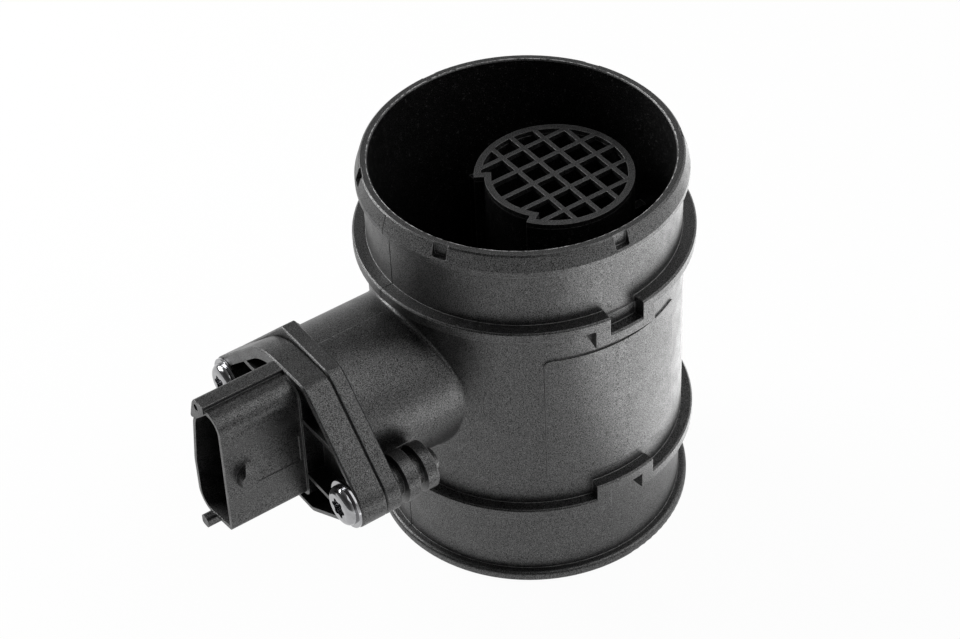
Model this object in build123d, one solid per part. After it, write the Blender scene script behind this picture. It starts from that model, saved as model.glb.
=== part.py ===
from build123d import *
import math
import os

# Hot-film mass airflow sensor for an engine intake: a short moulded flow tube with a side
# branch, and a plug-in sensor screwed to the branch flange. Millimetres. Z runs along the
# flow, the origin lies on the tube's axis at its lower rim, and the branch points to -X.

# ---- flow tube
TUBE_HEIGHT = 109.55
BORE_R = 37.8
BODY_WALL = 2.2  # wall between the two ribs
SPIGOT_WALL = 1.8  # wall of the two hose spigots
LIP_BAND = 5.7  # height of the hose barb at the upper rim
LIP_LAND = 1.5  # cylindrical lower end of the barb
LIP_WALL_TOP = 2.2
LIP_WALL_EDGE = 3.4
LIP_LEAD_IN = 0.35
BEAD_HEIGHT = 3.0
BEAD_STAND = 2.2
BEAD_ROUND = 1.0
RIB_WIDTH = 3.2
RIB_CHAMFER = 0.4
UPPER_RIB_STAND = 3.05
LOWER_RIB_STAND = 3.0
UPPER_SPIGOT = 21.85  # upper rim down to the upper rib
LOWER_SPIGOT = 24.4  # lower rim up to the lower rib
UPPER_JOG = 5.1  # how far the upper rib dips
LOWER_JOG = 4.4  # how far the lower rib rises
JOG_AT = 90.7  # angle of each dog-leg from the branch's opposite side
JOG_HALF = 11.8
JOG_LEG = 5.2

NOTCH_ANGLES = (-154.5, -90.5, -27, 27, 90.5, 154.5)
NOTCH_WIDTH = 3.9
NOTCH_HEIGHT = 3.6
NOTCH_DEPTH = 1.8
NOTCH_ROUND = 0.5

PANEL_X = -0.2  # middle of the raised pad on the wall
PANEL_WIDTH = 39.4
PANEL_LOW = 35.6
PANEL_HEIGHT = 40.4
PANEL_ROUND = 1.5
PANEL_STAND = 0.4

# ---- side branch, flanges and screws
BRANCH_R = 21.1
BRANCH_BORE_R = 18.5
BRANCH_Z = 59.0
BRANCH_REACH = 22.3  # tube wall to the back of the rear flange
BRANCH_FILLET = 1.2
REAR_FLANGE_T = 4.2
FRONT_FLANGE_T = 7.1
FLANGE_RIM = 0.5  # the flange stands out from the branch by at least this much
FLANGE_TOP = (-10.8, 21.9)  # its upper corner beside the latch (y, height over the axis)
FLANGE_BOTTOM = 21.5  # its flat bottom under the branch's axis
FLANGE_FLAT = 9.0  # half spacing of the bottom's rounded corners
FLANGE_CORNER_R = 4.0
FLANGE_BREAK = 0.4
JOINT_BREAK = 0.4  # chamfers of both flanges at their joint
SCREW_FRONT = (-28.3, -3.4)  # screw axes (y, height over the branch's axis)
SCREW_REAR = (26.8, -4.15)
LUG_R = 6.6

SCREW_R = 1.95
SCREW_LENGTH = 21.5
SCREW_CLEARANCE = 0.05
HEAD_FLANGE_R = 6.35
HEAD_FLANGE_T = 0.8
HEAD_R = 5.2
HEAD_HEIGHT = 2.9
HEAD_FACE_R = 3.4
SOCKET_R = 2.7
SOCKET_DEPTH = 1.9
SLEEVE_WALL = 1.0
SLEEVE_CLEARANCE = 0.25

BOSS_R = 6.5
BOSS_TAIL_R = 6.2
BOSS_CORE_R = 4.1
BOSS_GAP = 2.3  # groove between the rear flange and the first disc
BOSS_DISC = 3.3
BOSS_GROOVE = 2.4
BOSS_TAIL = 3.0
BOSS_END = 2.2
BOSS_WEB_T = 3.0

# ---- measuring duct inside the tube
DUCT_X = 9.7
DUCT_R = 20.1
DUCT_WALL = 1.7
DUCT_STEP = 2.6  # the duct's side facing the branch steps inwards
DUCT_STEP_HALF = 33.5
DUCT_LOW = 34.7
GRID_TOP = 97.7
GRID_T = 1.4
GRID_PITCH = 6.5
GRID_BAR = 1.2
GRID_GATE_R = 1.0
GRID_PEG_R = 0.5
GRID_PEG_LENGTH = 2.0
GRID_PEG_ANGLES = (-125, -50, 50, 125)
GRID_PEG_CLEARANCE = 0.05
STRUT_T = 2.4
STRUT_LOW = 44.7
STRUT_HEIGHT = 30.0

# ---- plug-in sensor
NECK_CLEARANCE = 0.15
NECK_LENGTH = 20.5
SEAL_R = 1.38
SEAL_SQUEEZE = 0.02
SEAL_INSET = 8.0  # flange face to the seal's centre
FINGER_HALF_T = 7.0
FINGER_HALF_H = 13.5
FINGER_CLEARANCE = 0.4
TIP_REACH = 12.3  # beyond the duct's axis
TIP_ROUND = 4.0
COVER_T = 1.2
COVER_LAP = 1.1
COVER_CLEARANCE = 0.1

CHANNEL_WIDTH = 6.4
CHANNEL_BEND_R = 5.25
CHANNEL_BEND_DROP = 1.3
CHANNEL_AT = 0.25  # bend centre from the duct's axis, towards the branch
CHANNEL_FLOOR = 4.5
OUTLET_TOP = 8.5
OUTLET_HEIGHT = 6.0

CHAMBER_HALF_H = 11.6
CHAMBER_START = 2.0
CHAMBER_WALL = 3.0
CHAMBER_FLOOR = 2.0
CHAMBER_ROUND = 1.5

PLATE_T = 1.0
PLATE_MARGIN = 0.5
BOARD_T = 0.64
BOARD_MARGIN = 2.0
BOARD_START = 4.5
BOARD_END = 7.5
CHIP_SIZE = 6.0
CHIP_T = 0.9
CARRIER_T = 0.7
CARRIER_WIDTH = 6.0
CARRIER_RISE = 2.0
CARRIER_TIP = 2.6
SLOT_CLEARANCE = 0.15
ELEMENT = (4.0, 2.4, 0.4)
WIRE_R = 0.15
WIRE_RISE = 1.2
WIRE_END = 0.45

THERMISTOR_R = 1.15
THERMISTOR_LEAD_R = 0.25
THERMISTOR_LEAD_GAP = 1.2
POCKET_DEPTH = 3.0
POCKET_LENGTH = 12.0
POCKET_HEIGHT = 6.0
POCKET_START = 18.0

# ---- connector
SHROUD_REACH = 21.7  # from the front flange's face
SHROUD_LEFT = 7.4
SHROUD_RIGHT = 9.1
SHROUD_LOW = 40.2
SHROUD_HIGH = 79.2
SHROUD_WALL = 1.05
SHROUD_DRAFT = 0.9  # the right wall leans inwards by this much at the bottom
SHROUD_RISE = 2.6  # the floor is this much higher at its right end
SHROUD_WAIST = (7.3, 56.0)  # the left wall leans inwards above this (y, z)
SHROUD_SHOULDER = (4.8, 70.4)  # and ends here, under the key rib
SHROUD_FLOOR = 1.8
KEY_LEFT_LOW = (4.9, 71.7)  # outline of the key rib in (y, z)
KEY_LEFT_HIGH = (2.9, 78.2)
KEY_RIGHT = -2.5
KEY_TOP = 80.3
KEY_ROUND = 1.3
KEY_REACH = 0.5  # the rib ends this far in front of the mouth
KEY_HOLE_R = 0.95
KEY_HOLE_DEPTH = 5.0
KEY_HOLE = (1.0, 77.9)
PEG_Y = 0.9
PEG_WIDTH = 3.0
PEG_LOW = 39.1
PEG_HIGH = 42.0
PEG_REACH = 2.7
PEG_LENGTH = 8.0
PEG_ROUND = 0.8
LATCH_Z = 59.1
LATCH_HALF = 4.15
LATCH_FACE_HALF = 2.5
LATCH_STAND = 2.2
LATCH_LEAD = 0.25
LATCH_START = 2.7
LATCH_LENGTH = 4.6
LATCH_RECESS = 0.35
PIN_PITCH = 5.0
PIN_COUNT = 5
PIN_WIDTH = 0.8
PIN_T = 0.63
PIN_INSET = 6.5
PIN_TAPER = 1.0
PIN_TAIL = 3.0
CORE_RIM = 1.4
CORE_RIM_LEFT = 3.0  # the rim is wider on the side away from the latch
CORE_FLOOR = 2.0
CORE_BASE = 0.9
CORE_RIB = 1.2
CORE_RIB_LEVELS = (-9.3, 9.7)  # heights of the ribs from the branch's axis

# ---- places that follow from the sizes above
BODY_R = BORE_R + BODY_WALL
SPIGOT_R = BORE_R + SPIGOT_WALL
BEAD_R = SPIGOT_R + BEAD_STAND
LIP_R = BORE_R + LIP_WALL_EDGE
UPPER_RIB_Z = TUBE_HEIGHT - UPPER_SPIGOT - RIB_WIDTH
FLANGE_BACK_X = -(BODY_R + BRANCH_REACH)
JOINT_X = FLANGE_BACK_X - REAR_FLANGE_T
FRONT_X = JOINT_X - FRONT_FLANGE_T
MOUTH_X = FRONT_X - SHROUD_REACH
NECK_R = BRANCH_BORE_R - NECK_CLEARANCE
NECK_END_X = JOINT_X + NECK_LENGTH
TIP_X = DUCT_X + TIP_REACH
GRID_LOW = GRID_TOP - GRID_T
BEND_X = DUCT_X - CHANNEL_AT
BEND_Z = BRANCH_Z - CHANNEL_BEND_DROP
INLET_X = BEND_X - CHANNEL_BEND_R
OUTLET_X = BEND_X + CHANNEL_BEND_R
CHANNEL_LEFT = INLET_X - CHANNEL_WIDTH / 2
CHANNEL_RIGHT = OUTLET_X + CHANNEL_WIDTH / 2
CHANNEL_BOTTOM = BEND_Z - CHANNEL_BEND_R - CHANNEL_WIDTH / 2
CHAMBER_X0 = NECK_END_X + CHAMBER_START
CHAMBER_X1 = CHANNEL_LEFT - CHAMBER_WALL
COVER_IN_Y = -(FINGER_HALF_T - COVER_T)
PLATE_Y = CHAMBER_FLOOR - PLATE_T
BOARD_Y = PLATE_Y - BOARD_T
BOARD_X0 = CHAMBER_X0 + BOARD_START
BOARD_X1 = CHAMBER_X1 - BOARD_END
CARRIER_Y = PLATE_Y - CARRIER_T
CARRIER_Z = BRANCH_Z + CARRIER_RISE
CARRIER_X0 = BOARD_X1 + 1.0
CARRIER_X1 = INLET_X + CARRIER_TIP
CONNECTOR_Y = (SHROUD_LEFT - SHROUD_RIGHT) / 2
CONNECTOR_Z = (SHROUD_LOW + SHROUD_HIGH) / 2
PIN_START_X = MOUTH_X + PIN_INSET
PIN_END_X = CHAMBER_X0 + PIN_TAIL
SLEEVE_BORE_R = SCREW_R + SLEEVE_CLEARANCE
SLEEVE_R = SLEEVE_BORE_R + SLEEVE_WALL


def block(x, y, z):
    """Box between two corners, each axis given as (low, high)."""
    size = [b - a for a, b in (x, y, z)]
    centre = [(a + b) / 2 for a, b in (x, y, z)]
    return Pos(*centre) * Box(*size)


def turned(points, axis=Axis.Z, arc=360.0):
    """Solid of revolution of a closed outline given as (radius, height) in the XZ plane."""
    face = make_face(Polyline(*[(r, 0, z) for r, z in points], close=True).edges())
    return revolve(face, axis=axis, revolution_arc=arc)


def rod(radius, x0, x1, y, z):
    """Cylinder along X between two stations."""
    return Pos((x0 + x1) / 2, y, z) * Rot(0, 90, 0) * Cylinder(radius, abs(x1 - x0))


def along_x(sketch, x0, x1):
    """Extrudes a sketch drawn in (y, z) from station x0 to station x1."""
    plane = Plane(origin=(x0, 0, 0), x_dir=(0, 1, 0), z_dir=(1, 0, 0))
    return extrude(plane * sketch, x1 - x0)


def along_y(sketch, y0, y1):
    """Extrudes a sketch drawn in (x, z) from station y0 to station y1."""
    plane = Plane(origin=(0, y0, 0), x_dir=(1, 0, 0), z_dir=(0, -1, 0))
    return extrude(plane * sketch, y0 - y1)


def rect(low, high, radius=0.0):
    """Rectangle between two corners, with rounded corners where a radius is given."""
    width, height = high[0] - low[0], high[1] - low[1]
    centre = Pos((low[0] + high[0]) / 2, (low[1] + high[1]) / 2)
    if radius > 0:
        return centre * RectangleRounded(width, height, radius)
    return centre * Rectangle(width, height)


def at_screws():
    """The two screw axes as (y, z)."""
    return [(y, BRANCH_Z + rise) for y, rise in (SCREW_FRONT, SCREW_REAR)]


# ---------------------------------------------------------------- flow tube
def rib_band(stand, z0, z1, start, sweep):
    """Part of a ring on the body's wall, from angle start over sweep degrees."""
    inner, outer = BODY_R - BODY_WALL / 2, BODY_R + stand
    c = RIB_CHAMFER
    profile = [
        (inner, z0), (outer - c, z0), (outer, z0 + c), (outer, z1 - c), (outer - c, z1), (inner, z1),
    ]
    return Rot(0, 0, start) * turned(profile, arc=sweep)


def jogged_rib(stand, z0, jog):
    """Ring rib that steps up or down by jog in a dog-leg on both sides of the tube."""
    z1 = z0 + RIB_WIDTH
    low, high = min(z0, z0 + jog), max(z1, z1 + jog)
    legs, bands = [], []
    for centre in (-JOG_AT, JOG_AT):
        start = centre - JOG_HALF
        bands.append(rib_band(stand, z0 + jog, z1 + jog, start, 2 * JOG_HALF))
        legs.append(rib_band(stand, low, high, start, JOG_LEG))
        legs.append(rib_band(stand, low, high, centre + JOG_HALF - JOG_LEG, JOG_LEG))
    near_side = 2 * (JOG_AT - JOG_HALF)
    far_side = 360 - 2 * (JOG_AT + JOG_HALF)
    bands.append(rib_band(stand, z0, z1, -near_side / 2, near_side))
    bands.append(rib_band(stand, z0, z1, JOG_AT + JOG_HALF, far_side))
    rib = bands[0]
    for piece in bands[1:] + legs:
        rib += piece
    return rib


def tube_walls():
    """Outer skin of the tube without its ribs, still solid inside."""
    top = TUBE_HEIGHT
    upper_z = UPPER_RIB_Z + RIB_WIDTH / 2
    lower_z = LOWER_SPIGOT + RIB_WIDTH / 2
    skin = turned([
        (0, 0), (SPIGOT_R, 0), (SPIGOT_R, lower_z), (BODY_R, lower_z), (BODY_R, upper_z),
        (SPIGOT_R, upper_z), (SPIGOT_R, top - LIP_BAND), (LIP_R, top - LIP_BAND),
        (LIP_R, top - LIP_BAND + LIP_LAND), (BORE_R + LIP_WALL_TOP, top - RIB_CHAMFER),
        (BORE_R + LIP_WALL_TOP - RIB_CHAMFER, top),
        (0, top),
    ])
    branch = rod(BRANCH_R, FLANGE_BACK_X, 0, 0, BRANCH_Z)
    joined = skin + branch
    saddle = new_edges(skin, branch, combined=joined)
    joined = fillet(saddle, BRANCH_FILLET)
    width = BEAD_STAND + SPIGOT_WALL / 2
    bead = Pos(BEAD_R - width / 2, BEAD_HEIGHT / 2) * RectangleRounded(width, BEAD_HEIGHT, BEAD_ROUND)
    bead_foot = Pos(SPIGOT_R - SPIGOT_WALL / 4, BEAD_HEIGHT / 2) * Rectangle(SPIGOT_WALL / 2, BEAD_HEIGHT)
    return joined + revolve(Plane.XZ * (bead + bead_foot), axis=Axis.Z)


def flange_outline():
    """Lozenge outline of both flanges in (y, z), drawn round the branch and its two lugs."""
    rings = [Pos(y, z) * Circle(LUG_R) for y, z in at_screws()]
    rings.append(Pos(0, BRANCH_Z) * Circle(BRANCH_R + FLANGE_RIM))
    low = BRANCH_Z - FLANGE_BOTTOM + FLANGE_CORNER_R
    high = BRANCH_Z + FLANGE_TOP[1] - FLANGE_CORNER_R
    for y, z in ((-FLANGE_FLAT, low), (FLANGE_FLAT, low), (FLANGE_TOP[0], high)):
        rings.append(Pos(y, z) * Circle(FLANGE_CORNER_R))
    return make_hull([edge for ring in rings for edge in ring.edges()])


def boss_profile():
    """Steps of a screw boss as (distance behind the flange, radius)."""
    steps, x = [], -BOSS_WEB_T / 2
    lengths = (BOSS_GAP - x, BOSS_DISC, BOSS_GROOVE, BOSS_TAIL)
    for length, radius in zip(lengths, (BOSS_CORE_R, BOSS_R, BOSS_CORE_R, BOSS_TAIL_R)):
        steps += [(x, radius), (x + length, radius)]
        x += length
    return steps + [(x, BOSS_CORE_R), (x + BOSS_END, BOSS_CORE_R - 1.0)]


def screw_bosses():
    """The two finned bosses behind the rear flange, each webbed to the branch."""
    steps = boss_profile()
    outline = [(steps[0][0], 0)] + steps + [(steps[-1][0], 0)]
    face = make_face(Polyline(*[(x, 0, r) for x, r in outline], close=True).edges())
    boss = revolve(face, axis=Axis.X)
    reach = BOSS_GAP + BOSS_DISC + BOSS_GROOVE + BOSS_TAIL
    result = []
    for y, z in at_screws():
        web = block(
            (FLANGE_BACK_X - 1, FLANGE_BACK_X + reach),
            (min(y, y * 0.55), max(y, y * 0.55)),
            (z - BOSS_WEB_T / 2, z + BOSS_WEB_T / 2),
        )
        result.append(Pos(FLANGE_BACK_X, y, z) * boss + web)
    return result


def screw_holes():
    """Pilot holes for the screws, from the joint into the bosses."""
    depth = SCREW_LENGTH - FRONT_FLANGE_T + 1.0
    return [rod(SCREW_R + SCREW_CLEARANCE, JOINT_X - 1, JOINT_X + depth, y, z) for y, z in at_screws()]


def duct_outline():
    """Round duct seen along the flow, with its side towards the branch stepped inwards."""
    reach = 2 * DUCT_R
    half = math.radians(DUCT_STEP_HALF)
    wedge = make_face(Polyline(
        (0, 0), (-reach * math.cos(half), reach * math.sin(half)),
        (-reach * math.cos(half), -reach * math.sin(half)), close=True,
    ).edges())
    step = wedge - Circle(DUCT_R - DUCT_STEP)
    return Circle(DUCT_R) - step


def shrunk(sketch, amount):
    """Outline moved inwards by amount, with its corners kept sharp."""
    return offset(sketch, amount=-amount, kind=Kind.INTERSECTION)


def grid_pegs(radius, length):
    """The grid's four pegs, pointing down from the top of the duct's wall."""
    reach = DUCT_R - DUCT_WALL / 2
    peg = Pos(reach, 0, GRID_LOW - length / 2) * Cylinder(radius, length)
    return [Pos(DUCT_X, 0) * Rot(0, 0, angle) * peg for angle in GRID_PEG_ANGLES]


def measuring_duct():
    """Inner duct and the three struts that carry it in the tube."""
    ring = duct_outline() - shrunk(duct_outline(), DUCT_WALL)
    duct = Pos(DUCT_X, 0, DUCT_LOW) * extrude(ring, GRID_LOW - DUCT_LOW)
    grip = BODY_WALL / 2
    inside = DUCT_R - DUCT_WALL / 2
    z = (STRUT_LOW, STRUT_LOW + STRUT_HEIGHT)
    side_reach = math.sqrt((BORE_R + grip) ** 2 - (DUCT_X + STRUT_T / 2) ** 2)
    half = STRUT_T / 2
    for side in (-1, 1):
        y = sorted((side * inside, side * side_reach))
        duct += block((DUCT_X - half, DUCT_X + half), y, z)
    duct += block((DUCT_X + inside, BORE_R + grip), (-half, half), z)
    gap_y = FINGER_HALF_T + FINGER_CLEARANCE
    gap_z = FINGER_HALF_H + FINGER_CLEARANCE
    window = rect((-gap_y, BRANCH_Z - gap_z), (gap_y, BRANCH_Z + gap_z), FINGER_CLEARANCE)
    duct -= along_x(window, DUCT_X - DUCT_R - 1, DUCT_X - DUCT_R / 2)
    for hole in grid_pegs(GRID_PEG_R + GRID_PEG_CLEARANCE, GRID_PEG_LENGTH + 0.3):
        duct -= hole
    return duct


def lip_notches():
    """Pockets cut into the outer corner of the upper rim."""
    low = TUBE_HEIGHT - NOTCH_HEIGHT
    half = NOTCH_WIDTH / 2
    sketch = rect((-half, low), (half, TUBE_HEIGHT + 2 * NOTCH_ROUND), NOTCH_ROUND)
    pocket = along_x(sketch, LIP_R - NOTCH_DEPTH, LIP_R + NOTCH_DEPTH)
    return [Rot(0, 0, angle) * pocket for angle in NOTCH_ANGLES]


def wall_pad():
    """Raised rectangular pad on the wall between the ribs."""
    left, right = PANEL_X - PANEL_WIDTH / 2, PANEL_X + PANEL_WIDTH / 2
    outline = rect((left, PANEL_LOW), (right, PANEL_LOW + PANEL_HEIGHT), PANEL_ROUND)
    tool = along_y(outline, -BODY_R / 2, -BODY_R - 5)
    span = 2 * PANEL_HEIGHT
    shell = Cylinder(BODY_R + PANEL_STAND, span) - Cylinder(BODY_R - BODY_WALL / 2, span)
    return tool & (Pos(0, 0, PANEL_LOW + PANEL_HEIGHT / 2) * shell)


def flow_tube():
    """The moulded tube: walls, ribs, branch, rear flange, bosses and measuring duct."""
    body = tube_walls()
    body += jogged_rib(UPPER_RIB_STAND, UPPER_RIB_Z, -UPPER_JOG)
    body += jogged_rib(LOWER_RIB_STAND, LOWER_SPIGOT, LOWER_JOG)
    flange = along_x(flange_outline(), JOINT_X, FLANGE_BACK_X)
    flange = chamfer(flange.faces().sort_by(Axis.X)[-1].edges(), FLANGE_BREAK)
    flange = chamfer(flange.faces().sort_by(Axis.X)[0].edges(), JOINT_BREAK)
    body += flange + wall_pad()
    for boss in screw_bosses():
        body += boss
    bore = Pos(0, 0, TUBE_HEIGHT / 2) * Cylinder(BORE_R, TUBE_HEIGHT + 2)
    lead = turned([
        (0, TUBE_HEIGHT - LIP_LEAD_IN), (BORE_R, TUBE_HEIGHT - LIP_LEAD_IN),
        (BORE_R + LIP_LEAD_IN, TUBE_HEIGHT), (BORE_R + LIP_LEAD_IN, TUBE_HEIGHT + 1), (0, TUBE_HEIGHT + 1),
    ])
    body = body - bore - lead
    body -= rod(BRANCH_BORE_R, JOINT_X - 1, -BORE_R / 2, 0, BRANCH_Z)
    for cut in screw_holes() + lip_notches():
        body -= cut
    return body + measuring_duct()


# ---------------------------------------------------------------- inlet grid
def inlet_grid():
    """Flat grid on top of the measuring duct, located by pegs in the duct's wall."""
    outline = duct_outline()
    bars = Circle(GRID_GATE_R)
    for k in (-2, -1, 0, 1, 2):
        bars += Pos(0, k * GRID_PITCH) * Rectangle(2 * DUCT_R, GRID_BAR)
    for k in (-1, 0, 1, 2):
        bars += Pos(k * GRID_PITCH, 0) * Rectangle(GRID_BAR, 2 * DUCT_R)
    lattice = (outline - shrunk(outline, DUCT_WALL)) + (bars & outline)
    grid = Pos(DUCT_X, 0, GRID_LOW) * extrude(lattice, GRID_T)
    for peg in grid_pegs(GRID_PEG_R, GRID_PEG_LENGTH):
        grid += peg
    return grid


# ---------------------------------------------------------------- sensor body
def shroud_outline():
    """Connector outline in (y, z): a sloping floor, and a left wall that leans inwards."""
    points = [
        (SHROUD_LEFT, SHROUD_LOW), (SHROUD_DRAFT - SHROUD_RIGHT, SHROUD_LOW + SHROUD_RISE),
        (-SHROUD_RIGHT, SHROUD_HIGH), (KEY_LEFT_HIGH[0] - KEY_ROUND, SHROUD_HIGH),
        SHROUD_SHOULDER, SHROUD_WAIST,
    ]
    radii = [5.0, 1.5, 4.5, 2.0, 2.0, 8.0]
    return make_face(FilletPolyline(*points, radius=radii, close=True).edges())


def mouth_outline():
    """Opening inside the shroud's wall, its upper left corner filled by the key rib."""
    left, low, high = SHROUD_LEFT, KEY_LEFT_LOW[1], SHROUD_HIGH
    corner = make_face(Polyline(
        (KEY_RIGHT - SHROUD_WALL, high - SHROUD_WALL / 2), (SHROUD_SHOULDER[0], low - 1),
        (left, low), (left, high + 1), (KEY_RIGHT, high + 1), close=True,
    ).edges())
    return shrunk(shroud_outline(), SHROUD_WALL) - corner


def key_rib():
    """Rib along the shroud's upper left corner, with a blind hole in its end."""
    points = [
        KEY_LEFT_LOW, KEY_LEFT_HIGH, (KEY_LEFT_HIGH[0] - KEY_ROUND, KEY_TOP), (KEY_RIGHT, KEY_TOP),
        (KEY_RIGHT, SHROUD_HIGH - SHROUD_WALL),
    ]
    radii = [0.5, KEY_ROUND, KEY_ROUND, 0.3, 0]
    section = make_face(FilletPolyline(*points, radius=radii, close=True).edges())
    end = MOUTH_X - KEY_REACH
    rib = along_x(section, end, FRONT_X + 1)
    return rib - rod(KEY_HOLE_R, end - 1, end + KEY_HOLE_DEPTH, *KEY_HOLE)


def front_flange():
    """Front flange with its lugs, cored out from the connector side between thin ribs."""
    outline = flange_outline()
    flange = along_x(outline, FRONT_X, JOINT_X)
    flange = chamfer(flange.faces().sort_by(Axis.X)[0].edges(), FLANGE_BREAK)
    flange = chamfer(flange.faces().sort_by(Axis.X)[-1].edges(), JOINT_BREAK)
    reach = 2 * BRANCH_R
    left = rect((0, BRANCH_Z - reach), (reach, BRANCH_Z + reach))
    pockets = (shrunk(outline, CORE_RIM) - left) + (shrunk(outline, CORE_RIM_LEFT) & left)
    pockets -= offset(shroud_outline(), amount=CORE_BASE)
    for y, z in at_screws():
        pockets -= Pos(y, z) * Circle(LUG_R - CORE_RIM / 2)
    for level in CORE_RIB_LEVELS:
        z = BRANCH_Z + level
        pockets -= rect((-reach, z - CORE_RIB / 2), (reach, z + CORE_RIB / 2))
    return flange - along_x(pockets, FRONT_X - 1, JOINT_X - CORE_FLOOR)


def latch():
    """Round-nosed latch bump on the connector's side."""
    start = MOUTH_X + LATCH_START
    end = start + LATCH_LENGTH
    wall, face = -SHROUD_RIGHT, -SHROUD_RIGHT - LATCH_STAND

    def nose(y, half, lead, bow):
        plane = Plane(origin=(0, y, 0), x_dir=(1, 0, 0), z_dir=(0, -1, 0))
        x0, mid = start + lead, start + lead + bow
        low, high = LATCH_Z - half, LATCH_Z + half
        edges = [
            ThreePointArc((mid, low), (x0, LATCH_Z), (mid, high)),
            Polyline((mid, high), (end, high), (end, low), (mid, low)),
        ]
        return plane * make_face([edge for line in edges for edge in line.edges()])

    base = nose(wall + SHROUD_WALL / 2, LATCH_HALF, 0, LATCH_HALF * 0.75)
    return loft([base, nose(face, LATCH_FACE_HALF, LATCH_LEAD, LATCH_FACE_HALF * 0.45)])


def latch_recess():
    """Shallow recess in the connector's side between the latch bump and the flange."""
    return block(
        (MOUTH_X + LATCH_START + LATCH_LENGTH, FRONT_X - CORE_BASE),
        (-SHROUD_RIGHT - 1, -SHROUD_RIGHT + SHROUD_DRAFT / 2 + LATCH_RECESS),
        (LATCH_Z - LATCH_HALF, LATCH_Z + LATCH_HALF),
    )


def connector():
    """Shroud with its key rib, peg and latch; the mouth opens to -X."""
    shroud = along_x(shroud_outline(), MOUTH_X, JOINT_X - CORE_FLOOR)
    shroud += latch() + key_rib()
    shroud -= latch_recess()
    shroud -= along_x(mouth_outline(), MOUTH_X - 1, FRONT_X - SHROUD_FLOOR)
    peg = block(
        (MOUTH_X - PEG_REACH, MOUTH_X + PEG_LENGTH),
        (PEG_Y - PEG_WIDTH / 2, PEG_Y + PEG_WIDTH / 2),
        (PEG_LOW, PEG_HIGH),
    )
    return shroud + fillet(peg.edges().filter_by(Axis.X), PEG_ROUND)


def neck():
    """Round neck that plugs into the branch, with its seal groove."""
    groove_r = BRANCH_BORE_R - 2 * (SEAL_R + SEAL_SQUEEZE)
    x = JOINT_X + SEAL_INSET
    half = SEAL_R + 0.4
    body = rod(NECK_R, JOINT_X - 1, NECK_END_X, 0, BRANCH_Z)
    body = chamfer(body.faces().sort_by(Axis.X)[-1].edges(), 1.0)
    span = (x - half, x + half, 0, BRANCH_Z)
    return body - (rod(NECK_R + 1, *span) - rod(groove_r, *span))


def finger_outline():
    """Finger seen from the side, in (x, z), with a rounded tip."""
    low, high = BRANCH_Z - FINGER_HALF_H, BRANCH_Z + FINGER_HALF_H
    points = [(NECK_END_X - 2, low), (TIP_X, low), (TIP_X, high), (NECK_END_X - 2, high)]
    radii = [0, TIP_ROUND, TIP_ROUND, 0]
    return make_face(FilletPolyline(*points, radius=radii, close=True).edges())


def channel_outline(grow=0.0):
    """U-shaped measuring channel in (x, z): down the inlet, round the bend, up the outlet."""
    width = CHANNEL_WIDTH + 2 * grow
    top = BRANCH_Z + FINGER_HALF_H
    inlet = rect((INLET_X - width / 2, BEND_Z), (INLET_X + width / 2, top + 1))
    outlet = rect((OUTLET_X - width / 2, BEND_Z), (OUTLET_X + width / 2, BRANCH_Z + OUTLET_TOP + grow))
    bend = Circle(CHANNEL_BEND_R + width / 2) - Circle(CHANNEL_BEND_R - width / 2)
    reach = 2 * CHANNEL_BEND_R + width
    lower = Pos(0, -reach / 2) * Rectangle(2 * reach, reach)
    return inlet + outlet + Pos(BEND_X, BEND_Z) * (bend & lower)


def bypass_lid_outline(gap=0.0):
    """Lid over the measuring channel in (x, z), smaller by gap all round."""
    lap = COVER_LAP - gap
    top = BRANCH_Z + FINGER_HALF_H
    return rect((CHANNEL_LEFT - lap, CHANNEL_BOTTOM - lap), (CHANNEL_RIGHT + lap, top + 1 - 2 * gap))


def chamber_lid_outline(gap=0.0):
    """Lid over the electronics chamber in (x, z), smaller by gap all round."""
    lap = COVER_LAP - gap
    low, high = BRANCH_Z - CHAMBER_HALF_H, BRANCH_Z + CHAMBER_HALF_H
    return rect((CHAMBER_X0 - lap, low - lap), (CHAMBER_X1 + lap, high + lap), CHAMBER_ROUND)


def pin_blades(grow=0.0):
    """The five terminals as straight blades with tapered tips, from mouth to chamber."""
    blades = []
    for k in range(PIN_COUNT):
        z = CONNECTOR_Z + (k - (PIN_COUNT - 1) / 2) * PIN_PITCH
        section = Pos(CONNECTOR_Y, z) * Rectangle(PIN_T + grow, PIN_WIDTH + grow)
        blade = along_x(section, PIN_START_X, PIN_END_X)
        tip = blade.faces().sort_by(Axis.X)[0]
        long_edges = tip.edges().filter_by(Axis.Y)
        blades.append(chamfer(long_edges, PIN_TAPER, PIN_WIDTH / 4))
    return blades


def thermistor_place():
    """Centre of the thermistor bead, in a pocket on the finger's back."""
    x = NECK_END_X + POCKET_START + POCKET_LENGTH - 3.0
    return x, FINGER_HALF_T - POCKET_DEPTH / 2, BRANCH_Z + FINGER_HALF_H / 4


def air_temperature_sensor():
    """Bead thermistor on two leads that run into the end of its pocket."""
    x, y, z = thermistor_place()
    part = Pos(x, y, z) * Sphere(THERMISTOR_R)
    for side in (-1, 1):
        lead_z = z + side * THERMISTOR_LEAD_GAP / 2
        part += rod(THERMISTOR_LEAD_R, NECK_END_X + POCKET_START, x, y, lead_z)
    return part


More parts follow.
